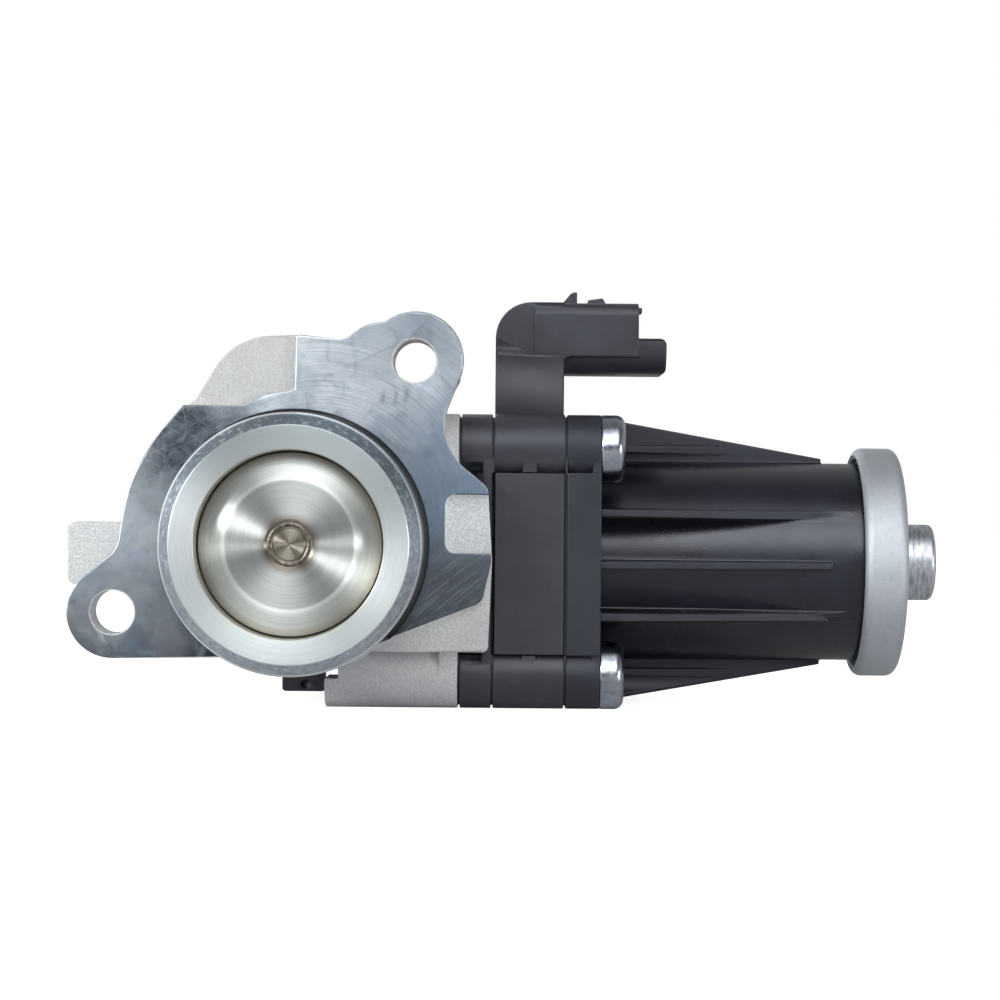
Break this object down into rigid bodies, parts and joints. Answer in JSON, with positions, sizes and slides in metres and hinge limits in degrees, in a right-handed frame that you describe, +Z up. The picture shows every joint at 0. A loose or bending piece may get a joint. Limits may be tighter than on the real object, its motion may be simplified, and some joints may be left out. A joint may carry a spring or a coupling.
{
  "type": "egr valve",
  "caption": "Electric exhaust gas recirculation valve: poppet in a steel spigot on a bolted aluminium body, driven by a motor through a planetary gear and a cam.",
  "frame": {"origin": "where the poppet's axis meets the machined flange face", "axes": "-Y out of the gas spigot along the poppet's axis, +X along the motor towards its end cap, +Z up as in the picture"},
  "size_m": [0.1707, 0.0752, 0.0814],
  "materials": {
    "cast_aluminium": "cast skin with a machined flange face",
    "spigot_steel": "turned stainless steel",
    "poppet_steel": "turned stainless steel with a straw heat tint",
    "stainless_sheet": "pressed stainless sheet",
    "sintered_bronze": "porous sintered bronze",
    "seal_plastic": "filled fluoropolymer",
    "seal_rubber": "matt black rubber",
    "gasket": "thin black sheet",
    "black_plastic": "glass-filled plastic, satin",
    "zinc_steel": "bright zinc plating",
    "tinned_brass": "tinned brass",
    "circuit_board": "green solder mask",
    "gear_steel": "machined steel",
    "bearing_steel": "ground steel",
    "spring_steel": "drawn wire",
    "turned_steel": "deep-drawn steel, scuffed",
    "cap_steel": "satin zinc-plated steel",
    "magnet": "sintered ferrite",
    "brush_plastic": "brown moulded plastic",
    "carbon": "copper-graphite",
    "copper": "copper",
    "lamination_steel": "stacked sheets",
    "planet_plastic": "acetal"
  },
  "bodies": {
    "housing": {"valve_body": "cast_aluminium", "seat_tube": "spigot_steel", "stem_guide": "sintered_bronze", "stem_seal": "seal_plastic", "deposit_shield": "stainless_sheet", "rear_cover": "black_plastic", "cover_gasket": "gasket", "cover_screws": "zinc_steel", "body_gasket": "gasket", "bearing_plate": "black_plastic", "shaft_seal": "seal_rubber", "plate_gasket": "gasket", "gear_housing": "black_plastic", "connector_blades": "tinned_brass", "sensor_board": "circuit_board", "sensor_cover": "black_plastic", "ring_gear": "gear_steel", "bearing_outer_rings": "bearing_steel", "bearing_balls": "bearing_steel", "housing_gasket": "gasket", "motor_housing": "black_plastic", "motor_can": "turned_steel", "motor_magnets": "magnet", "brush_holder": "brush_plastic", "carbon_brushes": "carbon", "brush_springs": "spring_steel", "motor_bushes": "sintered_bronze", "rubber_ring": "seal_rubber", "end_cap": "cap_steel", "housing_screws": "zinc_steel", "return_spring": "spring_steel"},
    "rotor": {"motor_shaft": "gear_steel", "sun_pinion": "gear_steel", "commutator": "copper", "armature_core": "lamination_steel", "armature_windings": "copper"},
    "carrier": {"planet_carrier": "gear_steel", "planet_pins": "bearing_steel", "output_shaft": "gear_steel", "spring_hub": "gear_steel", "bearing_inner_rings": "bearing_steel", "drive_cam": "gear_steel", "position_magnet": "magnet"},
    "planet_1": {"planet_gear_1": "planet_plastic"},
    "planet_2": {"planet_gear_2": "planet_plastic"},
    "planet_3": {"planet_gear_3": "planet_plastic"},
    "stem": {"poppet": "poppet_steel", "valve_stem": "poppet_steel", "roller_pin": "bearing_steel"},
    "roller": {"cam_roller": "bearing_steel"}
  },
  "joints": [
    {"name": "motor_spin", "type": "hinge", "parent": "housing", "child": "rotor", "pos_m": [0.045, 0.032, -0.0032], "axis": [1, 0, 0], "range_deg": [0, 495]},
    {"name": "carrier_turn", "type": "hinge", "parent": "housing", "child": "carrier", "pos_m": [0.045, 0.032, -0.0032], "axis": [1, 0, 0], "range_deg": [0, 90], "stiffness_Nm_per_rad": 0.08, "springref_deg": -34.38, "deforming": ["return_spring"]},
    {"name": "planet_1_spin", "type": "hinge", "parent": "carrier", "child": "planet_1", "pos_m": [0.0436, 0.032, 0.0067], "axis": [1, 0, 0], "range_deg": [-232, 0]},
    {"name": "planet_2_spin", "type": "hinge", "parent": "carrier", "child": "planet_2", "pos_m": [0.0436, 0.02343, -0.00815], "axis": [1, 0, 0], "range_deg": [-232, 0]},
    {"name": "planet_3_spin", "type": "hinge", "parent": "carrier", "child": "planet_3", "pos_m": [0.0436, 0.04057, -0.00815], "axis": [1, 0, 0], "range_deg": [-232, 0]},
    {"name": "valve_lift", "type": "slide", "parent": "housing", "child": "stem", "axis": [0, -1, 0], "range_m": [0, 0.0056]},
    {"name": "roller_spin", "type": "hinge", "parent": "stem", "child": "roller", "pos_m": [0.006, 0.0454, 0], "axis": [1, 0, 0], "range_deg": [0, 402]}
  ],
  "couplings": [
    {"joint": "carrier_turn", "follows": "motor_spin", "ratio": 0.18182},
    {"joint": "planet_1_spin", "follows": "motor_spin", "ratio": -0.46753},
    {"joint": "planet_2_spin", "follows": "motor_spin", "ratio": -0.46753},
    {"joint": "planet_3_spin", "follows": "motor_spin", "ratio": -0.46753},
    {"joint": "valve_lift", "follows": "motor_spin", "m_per_rad": 0.00064819},
    {"joint": "roller_spin", "follows": "motor_spin", "ratio": 0.81}
  ]
}
